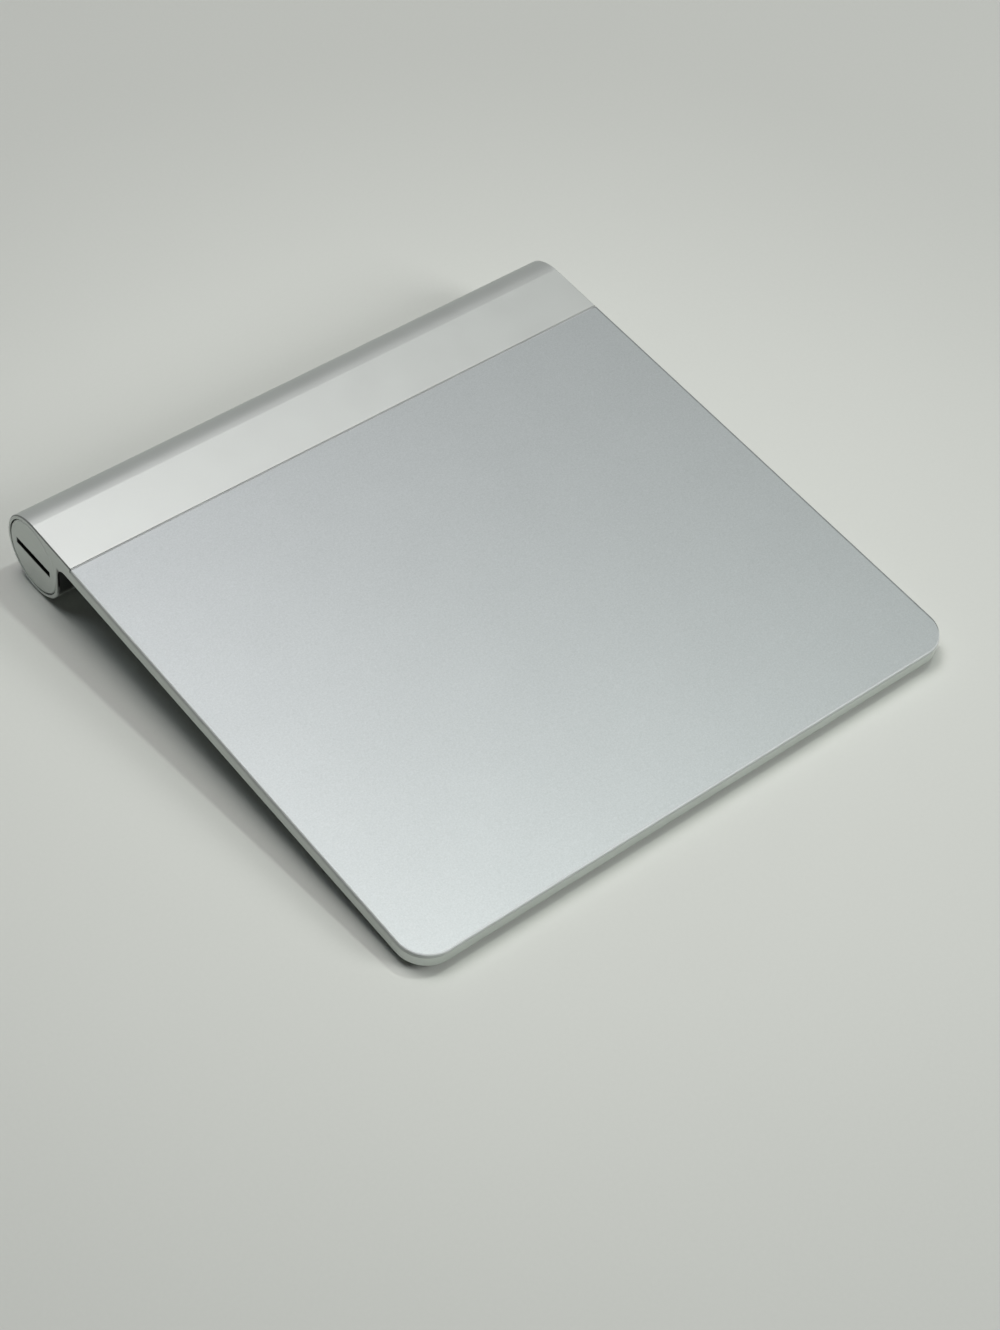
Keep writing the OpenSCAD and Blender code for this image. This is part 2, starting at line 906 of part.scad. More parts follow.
// Plastic cup that seats the power board, with a window for the ribbon
module switch_holder() {
    window_w = duct_w + end_play;
    color("darkslategray")
        stand()
            difference() {
                tube_bar(cup_x, cup_end_x, bore_r - carrier_play);
                tube_bar(cup_x - overrun, cup_end_x + overrun, cup_bore_r);
                tube_bar(power_board_x, cup_end_x + overrun, cup_seat_r);
                translate([power_ribbon_x - window_w / 2, tube_y - cup_seat_r, ribbon_z - cup_bore_r])
                    cube([window_w, cup_seat_r, bore_r]);
            }
}

module power_board() {
    color("darkgreen")
        stand()
            tube_bar(power_board_x, power_board_x + power_board_t, power_board_r);
}

module power_switch() {
    color("gray")
        stand()
            difference() {
                translate([
                    power_board_x + power_board_t,
                    tube_y - switch_w / 2,
                    tube_z - switch_w / 2
                ])
                    cube([switch_t, switch_w, switch_w]);
                tube_bar(
                    switch_face_x - (plunger_l - switch_gap) - button_travel - end_play / 2,
                    switch_face_x + overrun,
                    plunger_r + pin_play
                );
            }
}

module switch_plunger() {
    color("black")
        stand()
            tube_bar(stem_x - plunger_l, stem_x, plunger_r);
}

module power_button() {
    color("lightgray")
        stand() {
            tube_bar(flange_x + flange_t, end_x - edge_break, button_r);
            on_tube(end_x - edge_break)
                cylinder(r1 = button_r, r2 = button_r - edge_break, h = edge_break);
            tube_bar(flange_x, flange_x + flange_t, flange_r);
            tube_bar(stem_x, flange_x, stem_r);
        }
}

module end_cap() {
    color("lightgray")
        stand()
            difference() {
                union() {
                    tube_bar(end_x - cap_t, end_x - edge_break, cap_r);
                    on_tube(end_x - edge_break)
                        cylinder(r1 = cap_r, r2 = cap_r - edge_break, h = edge_break);
                }
                tube_bar(end_x - cap_t - overrun, end_x + overrun, button_r + button_play);
            }
}

// The click levers, drawn on the right side

// Stamped lever: a low outer leaf over the foot, a rolled knuckle, and a high inner tab
module click_arm() {
    difference() {
        union() {
            translate([hinge_x, foot_y - arm_w / 2, leaf_z])
                cube([foot_x - hinge_x, arm_w, arm_t]);
            translate([foot_x, foot_y, leaf_z])
                cylinder(r = arm_pad_r, h = arm_t);
            translate([hinge_x, foot_y - arm_w / 2, hinge_z])
                rotate([-90, 0, 0])
                    cylinder(r = knuckle_r, h = arm_w);
            translate([0, 0, tab_z])
                linear_extrude(arm_t)
                    polygon([
                        [tab_gap / 2, foot_y - tab_w / 2],
                        [hinge_x, foot_y - arm_w / 2],
                        [hinge_x, foot_y + arm_w / 2],
                        [tab_gap / 2, foot_y + tab_w / 2]
                    ]);
        }
        translate([hinge_x, foot_y - arm_w / 2 - overrun, hinge_z])
            rotate([-90, 0, 0])
                cylinder(r = pin_r + pin_play, h = arm_w + 2 * overrun);
        translate([(hinge_x + knuckle_r + foot_x - arm_pad_r) / 2, foot_y, leaf_z - overrun])
            slot_bar(
                lever_l - knuckle_r - arm_pad_r - 2 * arm_slot_gap + arm_slot_w,
                arm_slot_w,
                arm_t + 2 * overrun
            );
    }
}

module click_arm_left() {
    color("silver")
        stand()
            mirror([1, 0, 0])
                click_arm();
}

module click_arm_right() {
    color("silver")
        stand()
            click_arm();
}

// Folded bracket: a screwed base and two ears that hold the pin
module hinge_bracket() {
    base_x = hinge_x - bracket_gap - bracket_l;
    ear_y = arm_w / 2 + ear_play;
    difference() {
        union() {
            translate([base_x, foot_y - bracket_half, floor_z])
                cube([bracket_l, 2 * bracket_half, bracket_t]);
            for (side = [0, 1])
                translate([0, foot_y, 0])
                    mirror([0, side, 0])
                        translate([hinge_x - ear_back, ear_y, floor_z])
                            cube([ear_back + ear_front, ear_t, hinge_z + knuckle_r - floor_z]);
        }
        translate([hinge_x, foot_y - ear_y - ear_t - overrun, hinge_z])
            rotate([-90, 0, 0])
                cylinder(r = pin_r + seat_play, h = 2 * (ear_y + ear_t + overrun));
        for (side = [-1, 1])
            translate([
                base_x + bracket_l / 2,
                foot_y + side * bracket_screw_y,
                floor_z - overrun
            ])
                cylinder(r = screw_shank_r + pin_play, h = bracket_t + 2 * overrun);
    }
}

module hinge_bracket_left() {
    color("lightsteelblue")
        stand()
            mirror([1, 0, 0])
                hinge_bracket();
}

module hinge_bracket_right() {
    color("lightsteelblue")
        stand()
            hinge_bracket();
}

module hinge_pin() {
    half_l = arm_w / 2 + ear_play + ear_t;
    translate([hinge_x, foot_y - half_l, hinge_z])
        rotate([-90, 0, 0])
            cylinder(r = pin_r, h = 2 * half_l);
}

module hinge_pin_left() {
    color("gray")
        stand()
            mirror([1, 0, 0])
                hinge_pin();
}

module hinge_pin_right() {
    color("gray")
        stand()
            hinge_pin();
}

module bracket_screws() {
    color("gray")
        stand()
            for (place = bracket_screw_places())
                screw(place[0], place[1], floor_z + bracket_t);
}

module click_board() {
    color("darkgreen")
        stand()
            translate([-click_board_w / 2, foot_y - click_board_d / 2, floor_z])
                cube([click_board_w, click_board_d, click_board_t]);
}

module click_switch_base() {
    color("black")
        stand()
            translate([-switch_base_w / 2, foot_y - switch_base_w / 2, floor_z + click_board_t])
                cube([switch_base_w, switch_base_w, switch_base_t]);
}

// Snap dome: a thin spherical shell that both levers press on
module click_dome() {
    ball_r = (pow(dome_r, 2) + pow(dome_h, 2)) / (2 * dome_h);
    color("silver")
        stand()
            translate([0, foot_y, dome_z])
                rotate_extrude()
                    intersection() {
                        translate([0, dome_h - ball_r])
                            difference() {
                                circle(ball_r);
                                circle(ball_r - dome_t);
                            }
                        square([dome_r, dome_h]);
                    }
}

// The feet

// Round rubber foot under the lever's end, cut level with the desk and broken at its rim
module front_foot(side) {
    axis_drop = lift_z + foot_y * sin(tilt);
    rim_y = shift_y + foot_y * cos(tilt) + axis_drop * tan(tilt);
    difference() {
        stand()
            translate([side * foot_x, foot_y, leaf_z - foot_drop])
                cylinder(r = foot_r, h = foot_drop);
        translate([-pad_w, -tube_y, -foot_drop])
            cube([2 * pad_w, 2 * tube_y, foot_drop]);
        translate([side * foot_x, rim_y, 0])
            rotate_extrude()
                polygon([
                    [foot_r - foot_chamfer, 0],
                    [foot_r + foot_chamfer, 0],
                    [foot_r + foot_chamfer, 2 * foot_chamfer]
                ]);
    }
}

module front_foot_left() {
    color("dimgray")
        front_foot(-1);
}

module front_foot_right() {
    color("dimgray")
        front_foot(1);
}

// Rear foot as it stands under the tube; grow and extend turn it into its groove
module rear_foot_blank(side, grow = 0, extend = 0) {
    translate([side * rear_foot_x, shift_y + tube_stand_y, -extend])
        slot_bar(
            rear_foot_l + 2 * grow,
            rear_foot_w + 2 * grow,
            foot_proud + rear_groove + extend + grow
        );
}

module rear_foot_left() {
    color("dimgray")
        rear_foot_blank(-1);
}

module rear_foot_right() {
    color("dimgray")
        rear_foot_blank(1);
}

aluminium_body();
touch_glass();
glass_adhesive();
touch_sensor_board();
logic_board();
board_chips();
board_shield();
ribbon_connectors();
sensor_ribbon();
power_ribbon();
click_ribbon();
board_screws();
battery_cell_1();
battery_cell_2();
battery_door();
door_contact_plate();
door_contact_spring();
contact_carrier();
positive_contact();
switch_holder();
power_board();
power_switch();
switch_plunger();
power_button();
end_cap();
click_arm_left();
click_arm_right();
hinge_bracket_left();
hinge_bracket_right();
hinge_pin_left();
hinge_pin_right();
bracket_screws();
click_board();
click_switch_base();
click_dome();
front_foot_left();
front_foot_right();
rear_foot_left();
rear_foot_right();
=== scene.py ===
"""Wireless trackpad: the looks of every piece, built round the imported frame. Lengths are metres."""
import json
from math import cos, radians, sin, tau

import bmesh
import bpy
from mathutils import Matrix, Vector


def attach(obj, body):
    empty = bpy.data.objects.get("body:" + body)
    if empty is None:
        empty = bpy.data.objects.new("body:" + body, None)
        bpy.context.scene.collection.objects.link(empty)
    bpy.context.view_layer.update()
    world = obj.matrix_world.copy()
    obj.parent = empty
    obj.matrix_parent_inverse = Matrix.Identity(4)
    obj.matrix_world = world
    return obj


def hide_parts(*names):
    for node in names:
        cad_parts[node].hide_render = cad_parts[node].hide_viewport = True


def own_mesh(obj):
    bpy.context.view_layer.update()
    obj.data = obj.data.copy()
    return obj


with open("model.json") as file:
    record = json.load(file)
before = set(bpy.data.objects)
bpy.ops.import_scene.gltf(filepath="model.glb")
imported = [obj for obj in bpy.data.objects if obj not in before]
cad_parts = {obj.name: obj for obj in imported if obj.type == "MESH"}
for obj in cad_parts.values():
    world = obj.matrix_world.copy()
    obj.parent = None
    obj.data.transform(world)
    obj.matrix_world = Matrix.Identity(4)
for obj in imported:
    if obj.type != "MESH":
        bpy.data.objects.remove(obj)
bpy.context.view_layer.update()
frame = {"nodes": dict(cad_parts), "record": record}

# Sizes, in the pad's own frame: X to the right, Y back along the touch face, Z up from the face

MM = 0.001
HALF_WIDTH = 65.45 * MM
CORNER = 6.5 * MM
GLASS_DEPTH = 108.4 * MM
GLASS_THICKNESS = 0.9 * MM
GLASS_CHAMFER = 0.25 * MM
UNDERSIDE = -3.6 * MM
STRIP_FRONT = 108.7 * MM
TUBE_Y = 121.6 * MM
TUBE_Z = -8.95 * MM
TUBE_RADIUS = 8.95 * MM
TUBE_AXIS = Vector((0, TUBE_Y, TUBE_Z))
BORE_RADIUS = 7.45 * MM
SLOT_TURN = radians(-2.8)
CELL_LENGTH = 50.5 * MM
CELL_STARTS = (-58.55 * MM, -8.05 * MM)
CAP_THICKNESS = 1.6 * MM
TILT = radians(6.33491)
STAND = Matrix.Translation((0, -65.411313 * MM, 4.778018 * MM)) @ Matrix.Rotation(TILT, 4, "X")

# Camera, at the photograph's viewing angle

CAMERA_PLACE = Vector((-0.252425, -0.298592, 0.394101))
CAMERA_RIGHT = Vector((0.77567, -0.630406, 0.030398))
CAMERA_UP = Vector((0.440119, 0.5748, 0.689855))
CAMERA_BACK = Vector((-0.452362, -0.521721, 0.723309))
FOCAL_PIXELS = 2828.3
PICTURE_HEIGHT = 1330
SENSOR = 36
NEAREST_SEEN = 0.01
FURTHEST_SEEN = 20


def make_camera():
    lens = bpy.data.cameras.new("photo_camera")
    lens.sensor_fit = "VERTICAL"
    lens.sensor_height = SENSOR
    lens.sensor_width = SENSOR
    lens.lens = FOCAL_PIXELS * SENSOR / PICTURE_HEIGHT
    lens.clip_start = NEAREST_SEEN
    lens.clip_end = FURTHEST_SEEN
    camera = bpy.data.objects.new("photo_camera", lens)
    axes = Matrix((CAMERA_RIGHT, CAMERA_UP, CAMERA_BACK)).transposed().to_4x4()
    camera.matrix_world = Matrix.Translation(CAMERA_PLACE) @ axes
    bpy.context.scene.collection.objects.link(camera)
    bpy.context.scene.camera = camera


# Finishes


class Value:
    """A shader output. Sums written on it become Math nodes."""

    def __init__(self, finish, socket):
        self.finish = finish
        self.socket = socket

    def math(self, operation, *values):
        return self.finish.node("ShaderNodeMath", {"operation": operation}, values)

    def __add__(self, other):
        return self.math("ADD", self, other)

    def __sub__(self, other):
        return self.math("SUBTRACT", self, other)

    def __mul__(self, other):
        return self.math("MULTIPLY", self, other)

    def __rsub__(self, other):
        return self.math("SUBTRACT", other, self)

    __radd__ = __add__
    __rmul__ = __mul__

    def above(self, edge, softness):
        """1 where the value is above the edge, 0 where it is below, with a soft step between."""
        return self.finish.node(
            "ShaderNodeMapRange",
            {"interpolation_type": "SMOOTHSTEP"},
            {"Value": self, "From Min": edge - softness, "From Max": edge + softness},
        )

    def within(self, low, high, softness):
        return self.above(low, softness) - self.above(high, softness)

    def swing(self, amount):
        """A pattern from 0 to 1 as a change of the given amount, half of it up and half down."""
        return (self - 0.5) * amount

    def absolute(self):
        return self.math("ABSOLUTE", self)


class Nodes:
    """Adds nodes to one shader tree."""

    def __init__(self, tree):
        self.tree = tree

    def node(self, kind, settings, sockets, output=0):
        """Settings are set first, then values and links go to the node's sockets."""
        node = self.tree.nodes.new(kind)
        for name, value in settings.items():
            setattr(node, name, value)
        pairs = sockets.items() if isinstance(sockets, dict) else enumerate(sockets)
        for key, value in pairs:
            if isinstance(value, Value):
                self.tree.links.new(value.socket, node.inputs[key])
            else:
                node.inputs[key].default_value = value
        return Value(self, node.outputs[output])

    def axis(self, place, name):
        return self.node("ShaderNodeSeparateXYZ", {}, {"Vector": place}, name)

    def length(self, place):
        return self.node("ShaderNodeVectorMath", {"operation": "LENGTH"}, (place,), "Value")

    def grey(self, level):
        return self.node("ShaderNodeCombineXYZ", {}, (level, level, level))


class Finish(Nodes):
    """A procedural material whose patterns read Object coordinates, in metres."""

    def __init__(self, name, color, roughness, metallic=0.0, **constants):
        self.material = bpy.data.materials.new(name)
        self.material.use_nodes = True
        super().__init__(self.material.node_tree)
        self.surface = self.tree.nodes["Principled BSDF"]
        self.color = color
        self.roughness = roughness
        self.surface.inputs["Base Color"].default_value = (*color, 1)
        self.surface.inputs["Roughness"].default_value = roughness
        self.surface.inputs["Metallic"].default_value = metallic
        for socket, value in constants.items():
            self.surface.inputs[socket.replace("_", " ")].default_value = value

    def place(self):
        return self.node("ShaderNodeTexCoord", {}, {}, "Object")

    def place_in(self, frame_matrix):
        """Object coordinates read in a frame of its own, such as the pad's, which is STAND."""
        back = frame_matrix.inverted()
        settings = {"vector_type": "POINT"}
        values = {"Location": back.to_translation(), "Rotation": back.to_euler()}
        return self.node("ShaderNodeMapping", settings, {"Vector": self.place(), **values})

    def spots(self, place, size, output, distance="EUCLIDEAN"):
        """Cells of about the given size: how far a cell's middle is, or its own random colour."""
        settings = {"feature": "F1", "distance": distance}
        values = {"Vector": place, "Scale": 1 / size}
        return self.node("ShaderNodeTexVoronoi", settings, values, output)

    def stripes(self, value, pitch, share, softness=0.08):
        """1 over the given share of every pitch along a value, and 0 over the rest."""
        wave = value.math("FRACT", value * (1 / pitch))
        return wave.within(0.5 - share / 2, 0.5 + share / 2, softness)

    def noise(self, place, size, detail=2.0, roughness=0.5):
        """Cloudy noise from 0 to 1 whose blobs are about the given size."""
        values = {"Vector": place, "Scale": 1 / size, "Detail": detail, "Roughness": roughness}
        return self.node("ShaderNodeTexNoise", {"noise_dimensions": "3D"}, values, "Fac")

    def blast(self, place):
        """The fine grain that bead blasting leaves."""
        return self.noise(place, 0.12 * MM, 3, 0.7)

    def stretched(self, place, scale):
        values = {"Vector": place, "Scale": scale}
        return self.node("ShaderNodeMapping", {"vector_type": "POINT"}, values)

    def blend(self, share, first, second):
        """A colour between two colours."""
        return self.node("ShaderNodeMix", {"data_type": "RGBA"}, {0: share, 6: first, 7: second}, 2)

    def shade(self, amount):
        """The finish's own colour, darker or lighter by a varying amount round 0."""
        values = (self.grey(amount + 1), Vector(self.color))
        return self.node("ShaderNodeVectorMath", {"operation": "MULTIPLY"}, values)

    def feed(self, socket, value):
        self.tree.links.new(value.socket, self.surface.inputs[socket])

    def bump(self, height, distance, strength):
        values = {"Height": height, "Distance": distance, "Strength": strength}
        self.feed("Normal", self.node("ShaderNodeBump", {}, values))


ALUMINIUM = (0.551, 0.582, 0.558)
EDGE_BREAK = 0.25 * MM
# How much painted shade the tube ends' edge chamfers and the corner under the plate get, and how much
# painted light the front gets
CUT_EDGE_PAINTED_SHADE = 0.55
INNER_CORNER_PAINTED_SHADE = 0.78
FRONT_PAINTED_LIGHT = 0.12


def blasted_aluminium():
    """Blasted, clear anodised; painted shade at the tube-end chamfers and under the plate; painted
    light in front.
    """
    finish = Finish("blasted_aluminium", ALUMINIUM, 0.5, 1.0)
    place = finish.place()
    grain = finish.blast(place)
    cloud = finish.noise(place, 9 * MM, 2)
    pad = finish.place_in(STAND)
    across, along, height = (finish.axis(pad, name) for name in "XYZ")
    # Painted shade on the upper half of both tube ends' edge chamfers (cut, upper), painted shade on
    # the faces under the plate just in front of the tube (corner), and painted light fading back from
    # the front edge (front)
    cut = across.absolute().within(HALF_WIDTH - EDGE_BREAK, HALF_WIDTH - 0.02 * MM, 0.01 * MM)
    upper = cut * height.above(TUBE_Z, 1 * MM) * along.above(STRIP_FRONT - 0.1 * MM, 0.1 * MM)
    tube_front = TUBE_Y - TUBE_RADIUS
    corner = along.within(tube_front - 3 * MM, tube_front + 0.6 * MM, 0.4 * MM)
    corner = corner * (1 - height.above(UNDERSIDE - 0.6 * MM, 0.5 * MM))
    front = 1 - along.above(3 * MM, 3 * MM)
    painted_shade_and_light = upper * CUT_EDGE_PAINTED_SHADE + corner * INNER_CORNER_PAINTED_SHADE - front * FRONT_PAINTED_LIGHT
    finish.feed("Base Color", finish.shade(grain.swing(0.14) + cloud.swing(0.05) - painted_shade_and_light))
    finish.feed("Roughness", grain.swing(0.12) + cloud.swing(0.05) + finish.roughness)
    finish.bump(grain, 0.006 * MM, 0.5)
    return finish.material


GLASS_COLOR = (0.444, 0.481, 0.480)
# Painted shade along the glass's right edge
RIGHT_EDGE_PAINTED_SHADE = 0.35


def etched_glass():
    """Etched glass over a silver coat: cool, mottled, with painted shade in a dark line down the
    right edge.
    """
    finish = Finish("etched_glass", GLASS_COLOR, 0.45, 0.75, Coat_Weight=0.25, Coat_Roughness=0.4)
    place = finish.place()
    mottle = finish.noise(place, 0.32 * MM, 3, 0.75)
    cloud = finish.noise(place, 14 * MM, 2)
    # Painted shade in a band along the right edge
    edge = finish.axis(finish.place_in(STAND), "X").above(HALF_WIDTH - 0.5 * MM, 0.06 * MM)
    change = mottle.swing(0.45) + cloud.swing(0.05) - edge * RIGHT_EDGE_PAINTED_SHADE
    finish.feed("Base Color", finish.shade(change))
    finish.feed("Roughness", mottle.swing(0.1) + finish.roughness)
    finish.bump(mottle, 0.003 * MM, 0.4)
    return finish.material


def plain_finish(name, color, roughness, metallic=0.0):
    """A moulded or plated finish with a fine grain of its own."""
    finish = Finish(name, color, roughness, metallic)
    place = finish.place()
    speckle = finish.noise(place, 0.2 * MM, 3, 0.6)
    cloud = finish.noise(place, 6 * MM, 2)
    finish.feed("Base Color", finish.shade(speckle.swing(0.12) + cloud.swing(0.12)))
    finish.feed("Roughness", speckle.swing(0.2) + roughness)
    finish.bump(speckle, 0.01 * MM, 0.5)
    return finish.material


def grind(finish):
    """Gives a glass edge the fine lines that grinding leaves round it, and returns them."""
    lines = finish.noise(finish.stretched(finish.place(), (1, 1, 8)), 0.3 * MM, 3)
    finish.feed("Roughness", lines.swing(0.15) + finish.roughness)
    finish.bump(lines, 0.004 * MM, 0.4)
    return lines


def glass_side():
    """The bare side of the glass, ground smooth."""
    finish = Finish("glass_side", (0.46, 0.49, 0.475), 0.4, Coat_Weight=0.5, Coat_Roughness=0.15)
    finish.feed("Base Color", finish.shade(grind(finish).swing(0.2)))
    return finish.material


def glass_chamfer():
    """The chamfer round the glass: a pale painted highlight that fades from left to right, and
    painted shade along the right side.
    """
    # left and middle are the painted highlight's colours, right is the painted shade's
    left, middle, right = (0.66, 0.69, 0.69, 1), (0.53, 0.56, 0.56, 1), (0.10, 0.115, 0.11, 1)
    finish = Finish("glass_chamfer", left[:3], 0.3)
    across = finish.axis(finish.place_in(STAND), "X")
    pale = finish.blend(across * (0.5 / HALF_WIDTH) + 0.5, left, middle)
    right_shade_share = across.above(HALF_WIDTH - 1.2 * MM, 0.6 * MM)
    finish.feed("Base Color", finish.blend(right_shade_share, pale, right))
    grind(finish)
    return finish.material


SLOT_HALF_WIDTH = 0.79 * MM
SLOT_HALF_LENGTH = 5.85 * MM
SLOT_DEPTH = 2.2 * MM
# The painted shade round the slot's rim: how far it reaches and how it narrows to the slot's ends;
# then how dark the rim's and the slot's painted shade are
RIM_SHADE_REACH = 0.08 * MM
RIM_SHADE_TAPER = 0.02
RIM_PAINTED_SHADE = 0.7
SLOT_PAINTED_SHADE = 0.97


def door_aluminium():
    """The blasted aluminium of the door, with painted shade down its slot and round the slot's rim on
    its face.
    """
    finish = Finish("door_aluminium", ALUMINIUM, 0.5, 1.0)
    turned = Matrix.Rotation(SLOT_TURN, 4, "X").inverted() @ Matrix.Translation(-TUBE_AXIS)
    place = finish.place_in(STAND @ turned.inverted())
    # Painted shade down the slot to its depth, and a band of painted shade round the slot on the
    # door's face, narrowing to the slot's ends
    inside = finish.axis(place, "X").above(-HALF_WIDTH + 0.04 * MM, 0.03 * MM)
    slot = finish.axis(place, "Z").within(-SLOT_HALF_WIDTH, SLOT_HALF_WIDTH, 0.02 * MM)
    reach = finish.axis(place, "Y").within(-SLOT_HALF_LENGTH, SLOT_HALF_LENGTH, 0.02 * MM)
    shallow = 1 - finish.axis(place, "X").above(-HALF_WIDTH + SLOT_DEPTH, 0.05 * MM)
    height, length = (finish.axis(place, name).absolute() for name in "ZY")
    shaded_rim = 1 - (height + length * RIM_SHADE_TAPER).above(SLOT_HALF_WIDTH + RIM_SHADE_REACH, 0.1 * MM)
    shaded_slot, edge = inside * slot * reach * shallow, (1 - inside) * shaded_rim * reach
    shade_mask = shaded_slot + edge * RIM_PAINTED_SHADE
    grain = finish.blast(finish.place())
    finish.feed("Base Color", finish.shade(grain.swing(0.14) - shade_mask * SLOT_PAINTED_SHADE))
    finish.feed("Roughness", grain.swing(0.12) + shade_mask * 0.2 + finish.roughness)
    finish.bump(grain, 0.006 * MM, 0.5)
    return finish.material


TRACE_PITCH = 0.5 * MM
CLEAR_PITCH = 3.2 * MM


def solder_mask():
    """Green mask over copper: fine traces that turn from patch to patch, and plated holes."""
    mask, trace, plating = (0.018, 0.12, 0.062, 1), (0.045, 0.24, 0.12, 1), (0.75, 0.62, 0.33, 1)
    finish = Finish("solder_mask", mask[:3], 0.38, Coat_Weight=0.4, Coat_Roughness=0.2)
    place = finish.place_in(STAND)
    flat = finish.stretched(place, (1, 1, 0))
    turned = finish.axis(finish.spots(flat, 6 * MM, "Color", "CHEBYCHEV"), 0).above(0.5, 0.01)
    across = finish.stripes(finish.axis(place, "Y"), TRACE_PITCH, 0.45)
    along = finish.stripes(finish.axis(place, "X"), TRACE_PITCH, 0.45)
    traces = across * turned + along * (1 - turned)
    holes = 1 - finish.spots(flat, CLEAR_PITCH, "Distance").above(0.09, 0.02)
    masked = finish.blend(traces * 0.8, mask, trace)
    finish.feed("Base Color", finish.blend(holes, masked, plating))
    finish.feed("Roughness", finish.noise(place, 0.3 * MM) * 0.1 + 0.33)
    finish.feed("Metallic", holes)
    finish.bump(traces - holes * 2, 0.02 * MM, 0.5)
    return finish.material


def ribbon_film():
    """Amber film over copper lines that run along the ribbon."""
    amber, copper = (0.30, 0.13, 0.03, 1), (0.62, 0.30, 0.09, 1)
    finish = Finish("ribbon_film", amber[:3], 0.35, Coat_Weight=0.5, Coat_Roughness=0.25)
    place = finish.place_in(STAND)
    lines = finish.stripes(finish.axis(place, "X"), 0.5 * MM, 0.5, 0.1)
    finish.feed("Base Color", finish.blend(lines, amber, copper))
    finish.feed("Roughness", finish.noise(place, 1 * MM) * 0.15 + 0.28)
    finish.bump(lines, 0.015 * MM, 0.5)
    return finish.material


def brushed_metal(name, color, roughness):
    """Rolled and stamped sheet: fine lines along its length, with a little staining."""
    finish = Finish(name, color, roughness, 1.0)
    place = finish.place_in(STAND)
    lines = finish.noise(finish.stretched(place, (0.06, 1, 1)), 0.08 * MM, 3, 0.6)
    stain = finish.noise(place, 4 * MM, 3)
    finish.feed("Base Color", finish.shade(lines.swing(0.2) + stain.swing(0.12)))
    finish.feed("Roughness", lines.swing(0.2) + stain.swing(0.15) + roughness)
    finish.bump(lines, 0.004 * MM, 0.5)
    return finish.material


CELL_BAND = 42 * MM
CELL_BAND_WIDTH = 1.6 * MM


def cell_sleeve():
    """Printed film shrunk on a cell: slate, with a pale ring near the button and a lap along it."""
    dark, light, ring = (0.09, 0.12, 0.15, 1), (0.16, 0.19, 0.22, 1), (0.62, 0.64, 0.62, 1)
    finish = Finish("cell_sleeve", dark[:3], 0.3, 0.3, Coat_Weight=0.7, Coat_Roughness=0.15)
    place = finish.place_in(STAND)
    along = finish.axis(place, "X")
    rings = 0
    for start in CELL_STARTS:
        middle = start + CELL_BAND
        rings = along.within(middle - CELL_BAND_WIDTH, middle + CELL_BAND_WIDTH, 0.02 * MM) + rings
    fleck = finish.noise(place, 0.1 * MM, 2)
    slate = finish.blend(fleck * 0.3, dark, light)
    finish.feed("Base Color", finish.blend(rings, slate, ring))
    lap = finish.axis(place, "Y").within(TUBE_Y + 0.4 * MM, TUBE_Y + 0.9 * MM, 0.05 * MM)
    upper = finish.axis(place, "Z").above(TUBE_Z, 0.1 * MM)
    finish.feed("Roughness", finish.noise(place, 3 * MM) * 0.12 + 0.24)
    finish.bump(lap * upper, 0.04 * MM, 0.6)
    return finish.material


def turned_aluminium():
    """Faced on a lathe and anodised: rings round the tube's axis under a fine blast."""
    finish = Finish("turned_aluminium", ALUMINIUM, 0.42, 1.0)
    place = finish.place_in(STAND @ Matrix.Translation(TUBE_AXIS))
    arm = finish.length(finish.stretched(place, (0, 1, 1)))
    rings = finish.stripes(arm, 0.16 * MM, 0.5, 0.25)
    grain = finish.blast(place)
    finish.feed("Base Color", finish.shade(grain.swing(0.12) + rings.swing(0.03)))
    finish.feed("Roughness", grain.swing(0.12) + rings.swing(0.05) + finish.roughness)
    finish.bump(rings * 0.6 + grain, 0.004 * MM, 0.5)
    return finish.material


FINISHES = {
    "anodised_aluminium": blasted_aluminium(),
    "touch_glass": etched_glass(),
    "glass_edge": glass_chamfer(),
    "glass_side": glass_side(),
    "door_aluminium": door_aluminium(),
    "adhesive_film": plain_finish("bonding_film", (0.80, 0.80, 0.77), 0.6),
    "circuit_board": solder_mask(),
    "chip_epoxy": plain_finish("chip_epoxy", (0.03, 0.03, 0.033), 0.55),
    "switch_plastic": plain_finish("switch_plastic", (0.05, 0.05, 0.055), 0.5),
    "connector_plastic": plain_finish("connector_plastic", (0.75, 0.72, 0.62), 0.5),
    "ribbon_film": ribbon_film(),
    "steel": brushed_metal("stamped_steel", (0.60, 0.60, 0.59), 0.32),
    "cell_wrap": cell_sleeve(),
    "cell_end": brushed_metal("nickelled_steel", (0.70, 0.69, 0.66), 0.25),
    "cell_washer": plain_finish("cell_washer", (0.55, 0.56, 0.54), 0.6),
    "contact_brass": brushed_metal("plated_brass", (0.76, 0.60, 0.30), 0.28),
    "turned_aluminium": turned_aluminium(),
    "ceramic": plain_finish("fired_ceramic", (0.36, 0.26, 0.17), 0.5),
    "tinned_end": plain_finish("tinned_end", (0.72, 0.72, 0.70), 0.3, 1.0),
    "carrier_plastic": plain_finish("carrier_plastic", (0.09, 0.09, 0.095), 0.55),
    "seam_gasket": plain_finish("seam_gasket", (0.42, 0.43, 0.43), 0.6),
    "foot_rubber": plain_finish("foot_rubber", (0.10, 0.10, 0.105), 0.75),
}


def paint_nodes():
    """Every CAD node gets the finish of its material slot."""
    for part in frame["record"]["subparts"]:
        mesh = frame["nodes"][part["node"]].data
        mesh.materials.clear()
        mesh.materials.append(FINISHES[part["material_slot"]])


# Pieces, drawn in the pad's own frame and then stood up on the desk

CREASE = radians(30)
FLAT_BESIDE_SMALL = 30
CLOSE = 0.01 * MM
SAME_PLACE = CLOSE / 10


